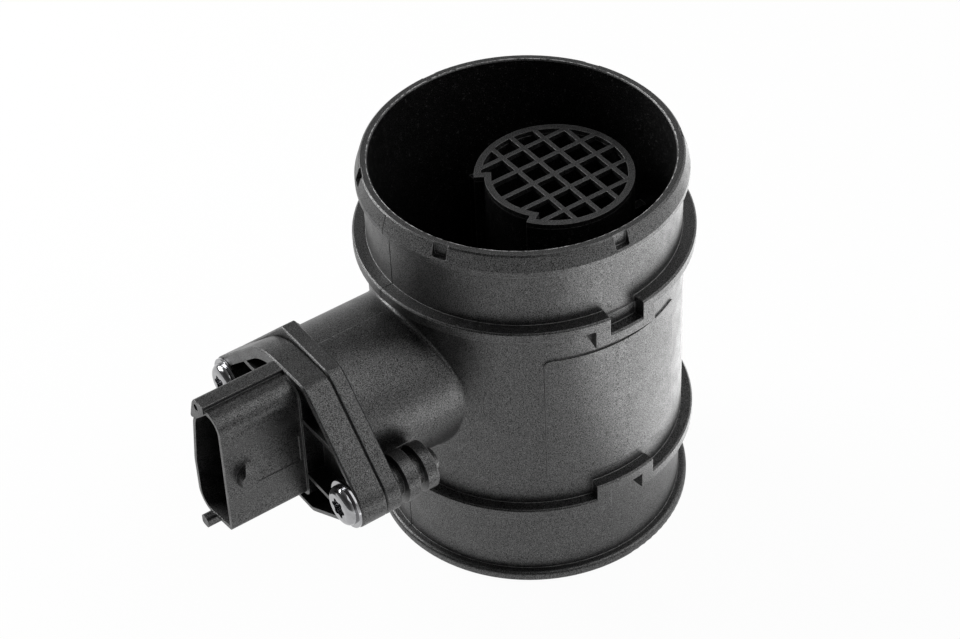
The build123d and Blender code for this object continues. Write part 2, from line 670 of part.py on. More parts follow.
def sensor_body():
    """Plug-in sensor housing, open at its two lids."""
    body = front_flange() + connector() + neck()
    finger = along_y(finger_outline(), FINGER_HALF_T, -FINGER_HALF_T)
    body += finger
    chamber = rect(
        (CHAMBER_X0, BRANCH_Z - CHAMBER_HALF_H), (CHAMBER_X1, BRANCH_Z + CHAMBER_HALF_H), CHAMBER_ROUND,
    )
    body -= along_y(chamber, CHAMBER_FLOOR, -FINGER_HALF_T - 1)
    body -= along_y(chamber_lid_outline(), COVER_IN_Y, -NECK_R)
    body -= along_y(channel_outline(), CHANNEL_FLOOR, -FINGER_HALF_T - 1)
    body -= along_y(bypass_lid_outline(), COVER_IN_Y, -FINGER_HALF_T - 1)
    grow = SLOT_CLEARANCE
    half = CARRIER_WIDTH / 2 + grow
    body -= block(
        (CHAMBER_X1 - 1, CHANNEL_LEFT + 1), (CARRIER_Y - grow, PLATE_Y + grow),
        (CARRIER_Z - half, CARRIER_Z + half),
    )
    x, y, z = thermistor_place()
    pocket_x = NECK_END_X + POCKET_START
    body -= block(
        (pocket_x, pocket_x + POCKET_LENGTH), (FINGER_HALF_T - POCKET_DEPTH, FINGER_HALF_T + 1),
        (z - POCKET_HEIGHT / 2, z + POCKET_HEIGHT / 2),
    )
    for y, z in at_screws():
        body -= rod(SLEEVE_R, FRONT_X - 1, JOINT_X + 1, y, z)
    for blade in pin_blades():
        body -= blade
    return body


# ---------------------------------------------------------------- lids, seal and fasteners
def seal_ring():
    """O-ring in the neck's groove."""
    x = JOINT_X + SEAL_INSET
    centre_r = BRANCH_BORE_R - SEAL_R - SEAL_SQUEEZE
    return Pos(x, 0, BRANCH_Z) * Rot(0, 90, 0) * Torus(centre_r, SEAL_R)


def electronics_cover():
    """Flush lid of the electronics chamber."""
    return along_y(chamber_lid_outline(COVER_CLEARANCE), COVER_IN_Y, -FINGER_HALF_T)


def bypass_cover():
    """Flush lid of the measuring channel with the outlet window."""
    lid = along_y(bypass_lid_outline(COVER_CLEARANCE), COVER_IN_Y, -FINGER_HALF_T)
    top = BRANCH_Z + FINGER_HALF_H
    lid &= block((CHANNEL_LEFT - 5, CHANNEL_RIGHT + 5), (-FINGER_HALF_T, 0), (CHANNEL_BOTTOM - 5, top))
    high = BRANCH_Z + OUTLET_TOP - 0.5
    half = CHANNEL_WIDTH / 2 - 0.5
    window = rect((OUTLET_X - half, high - OUTLET_HEIGHT), (OUTLET_X + half, high), 0.8)
    return lid - along_y(window, COVER_IN_Y + 1, -FINGER_HALF_T - 1)


def flange_screw():
    """Pan-head screw along +X, its head's seat at x = 0, with a six-lobe socket."""
    dome = 0.6
    outline = [
        (SCREW_LENGTH, 0), (SCREW_LENGTH, SCREW_R - 0.7), (SCREW_LENGTH - 1.2, SCREW_R), (0, SCREW_R),
        (0, HEAD_FLANGE_R - 0.15), (-0.15, HEAD_FLANGE_R), (-HEAD_FLANGE_T + 0.15, HEAD_FLANGE_R),
        (-HEAD_FLANGE_T, HEAD_FLANGE_R - 0.15), (-HEAD_FLANGE_T, HEAD_R),
    ]
    crown = (-HEAD_HEIGHT, HEAD_FACE_R)
    middle = (-(HEAD_HEIGHT + HEAD_FLANGE_T) / 2 - dome / 2, (HEAD_R + HEAD_FACE_R) / 2 + dome)
    lines = [
        Polyline(*[(x, 0, r) for x, r in outline]),
        ThreePointArc((outline[-1][0], 0, HEAD_R), (middle[0], 0, middle[1]), (crown[0], 0, crown[1])),
        Polyline((crown[0], 0, crown[1]), (crown[0], 0, 0), (SCREW_LENGTH, 0, 0)),
    ]
    screw = revolve(make_face([edge for line in lines for edge in line.edges()]), axis=Axis.X)
    lobes = Circle(SOCKET_R * 0.78)
    for k in range(6):
        lobes += Rot(0, 0, 60 * k) * Pos(SOCKET_R * 0.76, 0) * Circle(SOCKET_R * 0.24)
    return screw - along_x(lobes, -HEAD_HEIGHT - 1, -HEAD_HEIGHT + SOCKET_DEPTH)


def screw_sleeve():
    """Steel sleeve through the front flange, from x = 0 over the flange's thickness."""
    tube = rod(SLEEVE_R, 0, FRONT_FLANGE_T, 0, 0)
    return tube - rod(SLEEVE_BORE_R, -1, FRONT_FLANGE_T + 1, 0, 0)


# ---------------------------------------------------------------- electronics
def base_plate():
    """Aluminium plate on the chamber's floor."""
    low, high = BRANCH_Z - CHAMBER_HALF_H, BRANCH_Z + CHAMBER_HALF_H
    m = PLATE_MARGIN
    outline = rect((PIN_END_X + m, low + m), (CHAMBER_X1 - m, high - m), CHAMBER_ROUND)
    return along_y(outline, CHAMBER_FLOOR, PLATE_Y)


def board_extent():
    """Low and high corners of the board in (x, z)."""
    half = CHAMBER_HALF_H - BOARD_MARGIN
    return (BOARD_X0, BRANCH_Z - half), (BOARD_X1, BRANCH_Z + half)


def circuit_board():
    """Ceramic hybrid board on the plate."""
    return along_y(rect(*board_extent()), PLATE_Y, BOARD_Y)


def on_board(x, z, length, height, thickness):
    """Component on the board, centred at (x, z)."""
    return block(
        (x - length / 2, x + length / 2), (BOARD_Y - thickness, BOARD_Y), (z - height / 2, z + height / 2),
    )


def evaluation_chip():
    """Signal processing chip in the middle of the board."""
    middle = (BOARD_X0 + BOARD_X1) / 2
    return on_board(middle, BRANCH_Z, CHIP_SIZE, CHIP_SIZE, CHIP_T)


def capacitors():
    """Four chip capacitors beside the board's long edges."""
    middle = (BOARD_X0 + BOARD_X1) / 2
    row = CHAMBER_HALF_H - BOARD_MARGIN - 2.2
    places = [(middle + dx, BRANCH_Z + side * row) for side in (-1, 1) for dx in (-6.0, 1.5)]
    return [on_board(x, z, 3.2, 1.6, 1.2) for x, z in places]


def resistors():
    """Six chip resistors in two rows at the board's end towards the channel."""
    x0 = BOARD_X1 - 5.5
    places = [(x0 + dx, BRANCH_Z + dz) for dx in (0.0, 3.0) for dz in (-3.5, 0.0, 3.5)]
    return [on_board(x, z, 2.0, 1.25, 0.5) for x, z in places]


def chip_carrier():
    """Tongue on the plate that reaches through the slot into the measuring channel."""
    half = CARRIER_WIDTH / 2
    outline = rect((CARRIER_X0, CARRIER_Z - half), (CARRIER_X1, CARRIER_Z + half), 0.8)
    return along_y(outline, PLATE_Y, CARRIER_Y)


def sensor_element():
    """Hot-film chip on the tongue, in the middle of the inlet channel."""
    length, height, thickness = ELEMENT
    return block(
        (INLET_X - length / 2, INLET_X + length / 2), (CARRIER_Y - thickness, CARRIER_Y),
        (CARRIER_Z - height / 2, CARRIER_Z + height / 2),
    )


def wire_loop(start, end):
    """Bonding wire that rises from start and comes down on end."""
    middle = ((start[0] + end[0]) / 2, min(start[1], end[1]) - WIRE_RISE, (start[2] + end[2]) / 2)
    path = ThreePointArc(start, middle, end)
    return sweep(Plane(path @ 0, z_dir=path % 0) * Circle(WIRE_R), path=path)


def bond_wires():
    """Loops from the terminals to the board and from the board to the carrier."""
    loops = []
    low = BRANCH_Z - CHAMBER_HALF_H + BOARD_MARGIN + 1.2
    high = BRANCH_Z + CHAMBER_HALF_H - BOARD_MARGIN - 1.2
    for k in range(PIN_COUNT):
        z = CONNECTOR_Z + (k - (PIN_COUNT - 1) / 2) * PIN_PITCH
        landing = min(max(z, low), high)
        start = (PIN_END_X - 1.0, CONNECTOR_Y - PIN_T / 2 - WIRE_END, z)
        loops.append(wire_loop(start, (BOARD_X0 + 1.2, BOARD_Y - WIRE_END, landing)))
    for dz in (-1.8, 0.0, 1.8):
        start = (BOARD_X1 - 0.8, BOARD_Y - WIRE_END, CARRIER_Z + dz)
        loops.append(wire_loop(start, (CARRIER_X0 + 1.4, CARRIER_Y - WIRE_END, CARRIER_Z + dz)))
    return loops


def export(name, shape):
    """Writes one node as parts/name.step."""
    pieces = shape if isinstance(shape, list) else [shape]
    solids = [solid for piece in pieces for solid in piece.solids()]
    node = solids[0] if len(solids) == 1 else Compound(children=solids)
    export_step(node, f"parts/{name}.step")


def main():
    os.makedirs("parts", exist_ok=True)
    export("flow_tube", flow_tube())
    export("inlet_grid", inlet_grid())
    export("sensor_body", sensor_body())
    export("seal_ring", seal_ring())
    export("electronics_cover", electronics_cover())
    export("bypass_cover", bypass_cover())
    for name, (y, z) in zip(("front", "rear"), at_screws()):
        place = Pos(FRONT_X, y, z)
        export(f"flange_screw_{name}", place * flange_screw())
        export(f"screw_sleeve_{name}", place * screw_sleeve())
    export("base_plate", base_plate())
    export("circuit_board", circuit_board())
    export("evaluation_chip", evaluation_chip())
    export("capacitors", capacitors())
    export("resistors", resistors())
    export("chip_carrier", chip_carrier())
    export("sensor_element", sensor_element())
    export("bond_wires", bond_wires())
    for number, blade in enumerate(pin_blades(), start=1):
        export(f"terminal_pin_{number}", blade)
    export("air_temperature_sensor", air_temperature_sensor())


if __name__ == "__main__":
    main()
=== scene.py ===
"""Looks of a mass airflow sensor: a moulded flow tube with a plug-in sensor in its side branch.

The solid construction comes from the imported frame. This script dresses every node, adds the
fine surface work that is not part of the solids, and sets up a white studio with its camera.
Lengths are metres. Z runs up the flow tube and the branch points to -X.
"""

import logging
import math
from dataclasses import dataclass, field
from enum import Enum

import bpy
import numpy as np
from mathutils import Matrix, Vector

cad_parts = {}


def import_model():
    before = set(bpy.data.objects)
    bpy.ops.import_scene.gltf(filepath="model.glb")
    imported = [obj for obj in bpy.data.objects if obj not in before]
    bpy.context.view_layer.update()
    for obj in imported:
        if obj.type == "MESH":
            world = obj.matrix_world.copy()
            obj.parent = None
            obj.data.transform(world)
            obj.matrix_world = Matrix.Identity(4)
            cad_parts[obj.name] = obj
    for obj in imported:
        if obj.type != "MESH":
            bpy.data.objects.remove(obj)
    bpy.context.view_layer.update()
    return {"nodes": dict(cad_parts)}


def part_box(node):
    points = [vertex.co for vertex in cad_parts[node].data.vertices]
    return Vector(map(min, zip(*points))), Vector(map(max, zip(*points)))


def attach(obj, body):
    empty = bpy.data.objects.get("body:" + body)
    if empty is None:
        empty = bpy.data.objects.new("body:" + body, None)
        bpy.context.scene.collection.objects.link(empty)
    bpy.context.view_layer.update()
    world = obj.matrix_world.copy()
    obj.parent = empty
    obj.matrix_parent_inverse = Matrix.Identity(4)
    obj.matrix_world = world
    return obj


LOG = logging.getLogger("airflow_sensor")
MM = 0.001
ROOT = "root"

Colour = tuple[float, float, float]
Pair = tuple[float, float]
Triple = tuple[float, float, float]
Socket = bpy.types.NodeSocket
Value = float | Socket
Outline = list[Pair]

NOISE_SPAN = (0.3, 0.7)  # a noise is seldom below the first or above the second
WHITE = (1.0, 1.0, 1.0)


# ------------------------------------------------------------------ shader building blocks
class Draft:
    """A node tree under construction, with short calls for the nodes that the finishes use."""

    def __init__(self, tree: bpy.types.NodeTree) -> None:
        """Starts from an emptied tree.

        Args:
            tree: the node tree of a material or of the world.
        """
        self.tree = tree
        tree.nodes.clear()

    def add(self, kind: str, inputs: dict[str | int, object] | None = None,
            **settings: object) -> bpy.types.Node:
        """Adds a node and fills its sockets.

        Args:
            kind: the node's type name without its ShaderNode prefix.
            inputs: socket name or number to a value, or to an output socket to link.
            settings: attributes of the node.

        Returns:
            The new node.
        """
        node = self.tree.nodes.new("ShaderNode" + kind)
        for name, value in settings.items():
            setattr(node, name, value)
        for key, value in (inputs or {}).items():
            socket = node.inputs[key]
            if isinstance(value, Socket):
                self.tree.links.new(value, socket)
            elif socket.type == "RGBA" and len(value) == 3:
                socket.default_value = (*value, 1.0)
            else:
                socket.default_value = value
        return node

    def math(self, operation: str, a: Value, b: Value) -> Socket:
        """Result of one arithmetic operation, by Blender's name for it, on two values."""
        return self.add("Math", {0: a, 1: b}, operation=operation).outputs[0]

    def length(self, vector: Socket) -> Socket:
        """Length of a vector."""
        return self.add("VectorMath", {0: vector}, operation="LENGTH").outputs["Value"]

    def ramp(self, value: Socket, low: float, high: float, out_low: float = 0.0,
             out_high: float = 1.0) -> Socket:
        """Linear map of value from low..high to out_low..out_high, held at both ends.

        Args:
            value: the socket to map.
            low: input that gives out_low.
            high: input that gives out_high.
            out_low: result at low.
            out_high: result at high.

        Returns:
            The mapped socket.
        """
        limits = {
            "Value": value, "From Min": low, "From Max": high, "To Min": out_low,
            "To Max": out_high,
        }
        return self.add("MapRange", limits, clamp=True).outputs[0]

    def noise(self, where: Socket, scale: float, detail: float = 2.0,
              roughness: float = 0.5) -> Socket:
        """Noise value of a position.

        Args:
            where: the position socket.
            scale: cells per metre.
            detail: octaves.
            roughness: share of each finer octave.

        Returns:
            The noise socket, about 0 to 1.
        """
        inputs = {"Vector": where, "Scale": scale, "Detail": detail, "Roughness": roughness}
        return self.add("TexNoise", inputs).outputs["Fac"]

    def mix(self, share: Value, a: Colour | Socket, b: Colour | Socket) -> Socket:
        """Mix of two colours.

        Args:
            share: share of b, as a value or a socket.
            a: first colour or socket.
            b: second colour or socket.

        Returns:
            The colour socket.
        """
        node = self.add("Mix", data_type="RGBA")
        for key, value in ((0, share), (6, a), (7, b)):
            socket = node.inputs[key]
            if isinstance(value, Socket):
                self.tree.links.new(value, socket)
            else:
                socket.default_value = value if key == 0 else (*value, 1.0)
        return node.outputs[2]


@dataclass(frozen=True)
class Finish:
    """A surface finish; subclasses paint it into a material."""

    name: str

    def material(self) -> bpy.types.Material:
        """The finish as a material, made once.

        Returns:
            The material.
        """
        found = bpy.data.materials.get(self.name)
        if found:
            return found
        material = bpy.data.materials.new(self.name)
        material.use_nodes = True
        draft = Draft(material.node_tree)
        where = draft.add("TexCoord").outputs["Object"]
        shader = draft.add("BsdfPrincipled")
        self.paint(draft, shader, where)
        draft.add("OutputMaterial", {"Surface": shader.outputs[0]})
        return material

    def paint(self, draft: Draft, shader: bpy.types.Node, where: Socket) -> None:
        """Sets and links the shader's sockets.

        Args:
            draft: the material's tree.
            shader: its Principled shader.
            where: the object coordinates.
        """
        raise NotImplementedError

    @staticmethod
    def link(draft: Draft, shader: bpy.types.Node, **sockets: Socket) -> None:
        """Links sockets of the shader by name, with underscores for spaces."""
        for key, value in sockets.items():
            draft.tree.links.new(value, shader.inputs[key.replace("_", " ")])


@dataclass(frozen=True)
class MouldedPlastic(Finish):
    """Black glass-filled plastic from a spark-eroded mould."""

    colour: Colour = (0.003, 0.003, 0.0031)
    # Lighter flecks: partly the fibres' own tone, partly painted glints.
    fibre_fleck_glint: Colour = (0.06, 0.06, 0.06)
    grain_scale: float = 4400.0
    grain_depth: float = 0.05 * MM
    grain_strength: float = 0.6
    grain_shine: Pair = (0.12, 1.38)
    grain_span: Pair = (0.34, 0.66)
    coarse_scale: float = 0.37
    coarse_share: float = 0.3
    fleck_scale: float = 0.6
    fleck_span: Pair = (0.70, 0.77)
    waviness: float = 260.0
    roughness: Pair = (0.36, 0.46)
    edge: float = 0.3 * MM
    edge_samples: int = 8
    edge_span: Pair = (0.985, 0.9)
    # Pale colour painted on edges: a painted highlight along them, partly rubbed wear.
    highlight_and_wear: Colour = (0.17, 0.17, 0.17)
    highlight_wear_scale: float = 4.0
    highlight_wear_span: Pair = (0.35, 0.6)
    highlight_wear_least: float = 0.25
    # Specular level cut within this radius of the Z axis: painted shade inside the bore.
    shaded_bore_r: float = 0.0
    shaded_bore_blend: float = 0.1 * MM
    shaded_bore_shine: float = 0.25
    ior: float = 1.56

    def paint(self, draft: Draft, shader: bpy.types.Node, where: Socket) -> None:
        """Grain as bump and dull pits, flecks of fibre and painted glint, uneven gloss, and edges
        painted paler as a highlight, partly wear.

        The bump's height is (1 - k) * fine + k * coarse, with k the coarse share.

        Args:
            draft: the material's tree.
            shader: its Principled shader.
            where: the object coordinates.
        """
        fine = draft.noise(where, self.grain_scale, detail=1.0, roughness=0.6)
        coarse = draft.noise(where, self.grain_scale * self.coarse_scale)
        speck = draft.noise(where, self.grain_scale * self.fleck_scale, detail=0.0)
        # Fibre flecks mixed into the colour: partly fibre tone, partly painted glints.
        colour = draft.mix(draft.ramp(speck, *self.fleck_span), self.colour, self.fibre_fleck_glint)
        gloss = draft.ramp(draft.noise(where, self.waviness), *NOISE_SPAN, *self.roughness)
        shine = draft.ramp(fine, *self.grain_span, *self.grain_shine)
        # Painted shade: less reflection inside the bore.
        if self.shaded_bore_r > 0:
            shine = draft.math("MULTIPLY", shine, self.outside(draft, where))
        height = draft.math(
            "ADD", draft.math("MULTIPLY", fine, 1.0 - self.coarse_share),
            draft.math("MULTIPLY", coarse, self.coarse_share),
        )
        bump = {"Strength": self.grain_strength, "Distance": self.grain_depth, "Height": height}
        if self.edge > 0:
            bevel = draft.add("Bevel", {"Radius": self.edge}, samples=self.edge_samples)
            bump["Normal"] = bevel.outputs[0]
            # Edges painted paler: painted highlight along them, partly wear.
            colour = draft.mix(self.edge_highlight_and_wear(draft, where, bevel.outputs[0]), colour, self.highlight_and_wear)
        normal = draft.add("Bump", bump).outputs[0]
        self.link(draft, shader, Base_Color=colour, Roughness=gloss, Normal=normal)
        self.link(draft, shader, Specular_IOR_Level=shine)
        shader.inputs["IOR"].default_value = self.ior

    def outside(self, draft: Draft, where: Socket) -> Socket:
        """Factor of the gloss: the low one within the bore's radius of the Z axis, else 1; it
        paints shade inside the bore.

        Args:
            draft: the material's tree.
            where: the object coordinates.

        Returns:
            The factor's socket.
        """
        level = draft.add("VectorMath", {0: where, 1: (1.0, 1.0, 0.0)}, operation="MULTIPLY")
        radius = draft.length(level.outputs[0])
        limit = self.shaded_bore_r + self.shaded_bore_blend
        return draft.ramp(radius, self.shaded_bore_r, limit, self.shaded_bore_shine, 1.0)

    def edge_highlight_and_wear(self, draft: Draft, where: Socket, rounded: Socket) -> Socket:
        """Share of painted edge highlight, partly rubbed wear, from 0 to 1.

        An edge is where the normal averaged over the edge radius leaves the true normal: their
        dot product falls through the edge span. A noise makes the painted edge highlight patchy.

        Args:
            draft: the material's tree.
            where: the object coordinates.
            rounded: the averaged normal.

        Returns:
            The socket of the share.
        """
        flat = draft.add("NewGeometry").outputs["True Normal"]
        aligned = draft.add("VectorMath", {0: rounded, 1: flat}, operation="DOT_PRODUCT")
        patchy = draft.noise(where, self.waviness * self.highlight_wear_scale, detail=3.0, roughness=0.7)
        patch_share = draft.ramp(patchy, *self.highlight_wear_span, self.highlight_wear_least, 1.0)
        return draft.math(
            "MULTIPLY", draft.ramp(aligned.outputs["Value"], *self.edge_span), patch_share,
        )


@dataclass(frozen=True)
class HighlitWornPlastic(Finish):
    """Plastic with pale patches, painted highlights that are partly rubbed wear, for flash and
    other proud edges.
    """

    dark: Colour = (0.02, 0.02, 0.02)
    pale: Colour = (0.5, 0.5, 0.5)
    patch_scale: float = 700.0
    patch_span: Pair = (0.42, 0.56)
    roughness: float = 0.4

    def paint(self, draft: Draft, shader: bpy.types.Node, where: Socket) -> None:
        """Ragged pale patches, painted highlights partly as wear, where a noise of several octaves
        is high.

        Args:
            draft: the material's tree.
            shader: its Principled shader.
            where: the object coordinates.
        """
        patch = draft.noise(where, self.patch_scale, detail=4.0, roughness=0.7)
        # Share of the pale colour: painted highlight, partly wear.
        highlight_and_wear = draft.ramp(patch, *self.patch_span)
        self.link(draft, shader, Base_Color=draft.mix(highlight_and_wear, self.dark, self.pale))
        shader.inputs["Roughness"].default_value = self.roughness


@dataclass(frozen=True)
class BareMetal(Finish):
    """Metal with fine uneven gloss and, where asked, marks along one direction."""

    colour: Colour = (0.78, 0.78, 0.79)
    roughness: Pair = (0.12, 0.24)
    mark_scale: Triple = (1800.0, 1800.0, 1800.0)
    mark_depth: float = 0.004 * MM
    mark_strength: float = 0.4
    tint_span: Pair = (0.35, 0.75)
    tint: float = 0.86

    def paint(self, draft: Draft, shader: bpy.types.Node, where: Socket) -> None:
        """Noise stretched along the working direction drives tone, gloss and a shallow bump.

        Args:
            draft: the material's tree.
            shader: its Principled shader.
            where: the object coordinates.
        """
        stretched = draft.add("Mapping", {"Vector": where, "Scale": self.mark_scale}).outputs[0]
        marks = draft.noise(stretched, 1.0, detail=3.0, roughness=0.6)
        gloss = draft.ramp(marks, *NOISE_SPAN, *self.roughness)
        darker = tuple(self.tint * part for part in self.colour)
        tone = draft.mix(draft.ramp(marks, *self.tint_span), self.colour, darker)
        bump = draft.add(
            "Bump", {"Strength": self.mark_strength, "Distance": self.mark_depth, "Height": marks},
        )
        self.link(draft, shader, Base_Color=tone, Roughness=gloss, Normal=bump.outputs[0])
        shader.inputs["Metallic"].default_value = 1.0


@dataclass(frozen=True)
class PlainSurface(Finish):
    """Non-metal with a mottled tone, for rubber, ceramic, epoxy and glass parts."""

    colour: Colour = (0.03, 0.03, 0.03)
    second: Colour = (0.05, 0.05, 0.05)
    scale: float = 900.0
    roughness: Pair = (0.4, 0.55)
    depth: float = 0.01 * MM
    strength: float = 0.3
    tone_span: Pair = (0.35, 0.7)

    def paint(self, draft: Draft, shader: bpy.types.Node, where: Socket) -> None:
        """One noise drives tone, gloss and a shallow bump.

        Args:
            draft: the material's tree.
            shader: its Principled shader.
            where: the object coordinates.
        """
        cloud = draft.noise(where, self.scale, detail=3.0, roughness=0.55)
        tone = draft.mix(draft.ramp(cloud, *self.tone_span), self.colour, self.second)
        bump = draft.add(
            "Bump", {"Strength": self.strength, "Distance": self.depth, "Height": cloud},
        )
        gloss = draft.ramp(cloud, *NOISE_SPAN, *self.roughness)
        self.link(draft, shader, Base_Color=tone, Roughness=gloss, Normal=bump.outputs[0])


@dataclass(frozen=True)
class Nodes:
    """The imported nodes, dressed by name."""

    objects: dict[str, bpy.types.Object]

    def dress(self, finish: Finish, *names: str) -> None:
        """Gives nodes one finish and reports them.

        Args:
            finish: the finish to use.
            names: the nodes.
        """
        for name in names:
            mesh = self.objects[name].data
            mesh.materials.clear()
            mesh.materials.append(finish.material())
            LOG.info("%s: %s", name, finish.name)


def sheet(name: str, points: np.ndarray, closed: tuple[bool, bool], finish: Finish,
          smooth: bool = True) -> None:
    """Adds a surface through a grid of points, which rides on the part.

    Quad (i, j) joins the points (i, j), (i+1, j), (i+1, j+1) and (i, j+1); a closed direction
    also joins its last row to its first.

    Args:
        name: the piece's name.
        points: array of shape (rows, columns, 3), in metres.
        closed: whether rows and whether columns run round.
        finish: its finish.
        smooth: whether its faces are shaded as one curve.
    """
    rows, columns = points.shape[:2]
    index = np.arange(rows * columns).reshape(rows, columns)
    if closed[0]:
        index = np.vstack([index, index[:1]])
    if closed[1]:
        index = np.hstack([index, index[:, :1]])
    quads = np.stack([index[:-1, :-1], index[1:, :-1], index[1:, 1:], index[:-1, 1:]], axis=-1)
    quads = quads.reshape(-1, 4)
    mesh = bpy.data.meshes.new(name)
    mesh.vertices.add(rows * columns)
    mesh.vertices.foreach_set("co", points.reshape(-1).astype(np.float32))
    mesh.loops.add(quads.size)
    mesh.loops.foreach_set("vertex_index", quads.reshape(-1).astype(np.int32))
    mesh.polygons.add(len(quads))
    mesh.polygons.foreach_set("loop_start", np.arange(0, quads.size, 4, dtype=np.int32))
    mesh.polygons.foreach_set("use_smooth", np.full(len(quads), smooth))
    mesh.update(calc_edges=True)
    mesh.materials.append(finish.material())
    piece = bpy.data.objects.new(name, mesh)
    bpy.context.scene.collection.objects.link(piece)
    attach(piece, ROOT)
    LOG.info("%s: %d faces", name, len(quads))


def wander(count: int, seed: int, smooth: int) -> np.ndarray:
    """Random values from 0 to 1 that change slowly round a closed line.

    White noise is averaged over a window of 2 * smooth + 1 neighbours round the loop and
    stretched to its full range: w = (m - min m) / (max m - min m).

    Args:
        count: how many values.
        seed: the random seed.
        smooth: half width of the window.

    Returns:
        Array of shape (count,).
    """
    noise = np.random.default_rng(seed).random(count)
    shifts = np.arange(-smooth, smooth + 1)
    mean = noise[(np.arange(count)[:, None] + shifts) % count].mean(axis=1)
    return (mean - mean.min()) / np.ptp(mean)


class Side(Enum):
    """A side of the tube, as the sign of X there."""

    BRANCH = -1.0
    FAR = 1.0


@dataclass
class PartingLine:
    """Fine ridge that the mould's halves leave along a line on the surface."""

    name: str
    path: np.ndarray  # points on the surface
    outward: np.ndarray  # normals of the surface there
    across: np.ndarray  # unit vector across the line, outward x direction of the path
    width: float = 0.36 * MM
    height: float = 0.13 * MM
    sunk: float = 0.03 * MM
    step: float = 0.25 * MM
    least_stations: int = 4
    section_points: int = 7
    evenness: int = 6
    variation: float = 1.0 / 3.0

    def build(self, finish: Finish, seed: int) -> None:
        """Sweeps the ridge's section along the path.

        The section is a cosine hump: a point at u from -1 to 1 across the line stands
        h * (1 + cos(pi * u)) / 2 - sunk out of the surface and u * width / 2 beside the line.
        The height h falls by up to the variation along the path.

        Args:
            finish: the ridge's finish.
            seed: seed of the height's variation.
        """
        lengths = np.linalg.norm(np.diff(self.path, axis=0), axis=1)
        along = np.concatenate([[0.0], np.cumsum(lengths)])
        count = max(self.least_stations, int(along[-1] / self.step))
        stations = np.linspace(0.0, along[-1], count)
        path, outward = (
            np.stack([np.interp(stations, along, row) for row in data.T], axis=1)
            for data in (self.path, self.outward)
        )
        u = np.linspace(-1.0, 1.0, self.section_points)
        tall = self.height * (1.0 - self.variation * wander(count, seed, self.evenness))
        rise = tall[:, None] * (1.0 + np.cos(np.pi * u)) / 2.0 - self.sunk
        offset = u[None, :, None] * self.across * self.width / 2.0
        points = path[:, None, :] + offset + rise[:, :, None] * outward[:, None, :]
        sheet(self.name, points, (False, False), finish)


@dataclass
class FlangeCrest:
    """Flat-topped upper part of the branch's flange, which stands out behind the sensor's flange.

    Corners are (y, z, radius) of the circles that the outline is stretched round: the two upper
    corners, the two screw lugs and the ring round the bore.
    """

    corners: tuple[Triple, ...] = (
        (9.0 * MM, 80.6 * MM, 1.0 * MM), (-9.9 * MM, 77.6 * MM, 4.0 * MM),
        (26.8 * MM, 54.85 * MM, 6.55 * MM), (-28.3 * MM, 55.6 * MM, 6.5 * MM),
        (0.0, 59.0 * MM, 21.0 * MM),
    )
    bore: Triple = (0.0, 59.0 * MM, 19.8 * MM)
    faces: Pair = (-66.48 * MM, -62.32 * MM)
    chamfer: float = 0.35 * MM
    steps: int = 900

    def build(self, finish: Finish) -> None:
        """Makes the flange as a closed ring.

        In each direction d = (cos a, sin a) the outline's point is c + r * d of the circle for
        which c . d + r is largest, so it is the tight line round all circles. A chamfered edge
        takes r less the chamfer. The ring's inner wall is a plain circle.

        Args:
            finish: its finish.
        """
        angle = np.linspace(0.0, 2.0 * np.pi, self.steps, endpoint=False)
        ways = np.stack([np.cos(angle), np.sin(angle)], axis=1)
        circles = np.array(self.corners)
        farthest = np.argmax(ways @ circles[:, :2].T + circles[:, 2], axis=1)
        centre, radius = circles[farthest, :2], circles[farthest, 2:]
        inner = np.array(self.bore[:2]) + self.bore[2] * ways
        front, back = self.faces
        full, cut = centre + radius * ways, centre + (radius - self.chamfer) * ways
        rows = ((front, inner), (back, inner), (back, cut), (back - self.chamfer, full),
                (front + self.chamfer, full), (front, cut))
        points = np.stack([np.column_stack([np.full(self.steps, x), line]) for x, line in rows])
        sheet("branch_flange_crest", points, (True, True), finish, smooth=False)


